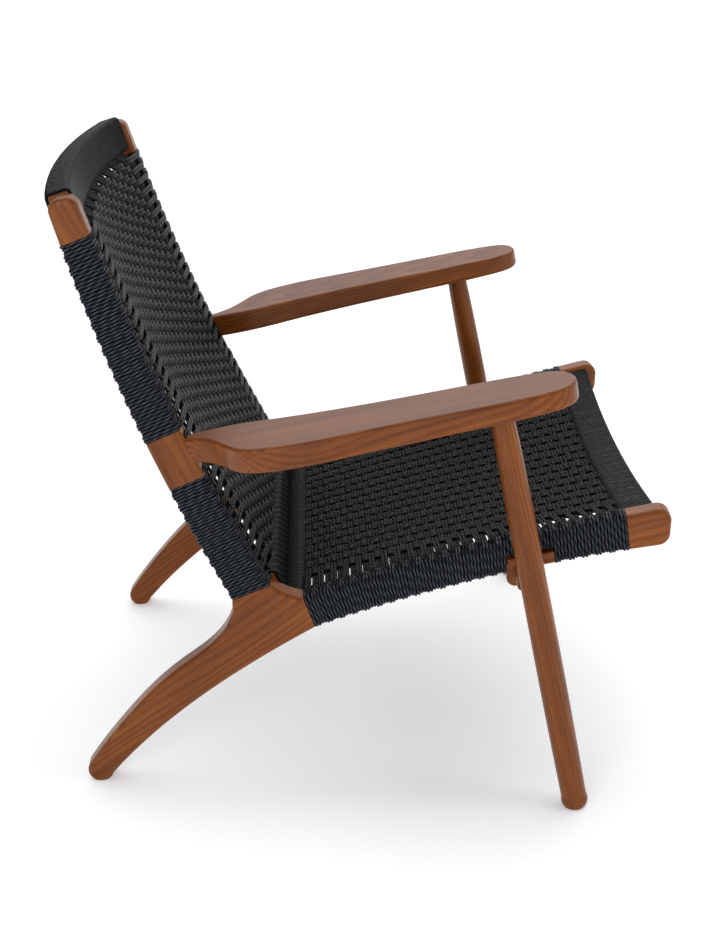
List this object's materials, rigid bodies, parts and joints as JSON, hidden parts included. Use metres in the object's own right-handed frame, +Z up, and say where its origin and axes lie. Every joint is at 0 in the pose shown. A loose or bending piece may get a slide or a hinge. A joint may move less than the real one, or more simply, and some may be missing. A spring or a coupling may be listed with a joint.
{
  "type": "wooden armchair",
  "caption": "Low easy chair with a curved hardwood frame, splayed armrests and a seat and back woven from dark cord.",
  "frame": {"origin": "on the floor, under the middle of the chair's box", "axes": "+Z up, -Y is the way the sitter faces, +X is the sitter's left"},
  "size_m": [0.6794, 0.7234, 0.7369],
  "materials": {
    "frame_wood": "satin oiled",
    "dowel_wood": "bare",
    "cord": "twisted paper cord, dyed dark"
  },
  "bodies": {
    "root": {"arm_dowel_left": "dowel_wood", "arm_dowel_right": "dowel_wood", "armrest_left": "frame_wood", "armrest_right": "frame_wood", "back_bottom_rail": "frame_wood", "back_bottom_rail_wrap": "cord", "back_stile_left": "frame_wood", "back_stile_right": "frame_wood", "back_top_rail": "frame_wood", "back_top_rail_wrap": "cord", "back_weave": "cord", "front_cross_rail": "frame_wood", "front_leg_left": "frame_wood", "front_leg_right": "frame_wood", "rail_dowels_left": "dowel_wood", "rail_dowels_right": "dowel_wood", "rear_leg_left": "frame_wood", "rear_leg_right": "frame_wood", "seat_front_rail": "frame_wood", "seat_front_rail_wrap": "cord", "seat_rear_rail": "frame_wood", "seat_rear_rail_wrap": "cord", "seat_side_rail_left": "frame_wood", "seat_side_rail_right": "frame_wood", "seat_weave": "cord", "shoulder_dowels_left": "dowel_wood", "shoulder_dowels_right": "dowel_wood", "side_rail_wrap_front_left": "cord", "side_rail_wrap_front_right": "cord", "side_rail_wrap_rear_left": "cord", "side_rail_wrap_rear_right": "cord", "side_rail_wrap_slot_left": "cord", "side_rail_wrap_slot_right": "cord", "stile_wrap_lower_left": "cord", "stile_wrap_lower_right": "cord", "stile_wrap_upper_left": "cord", "stile_wrap_upper_right": "cord"}
  },
  "joints": []
}
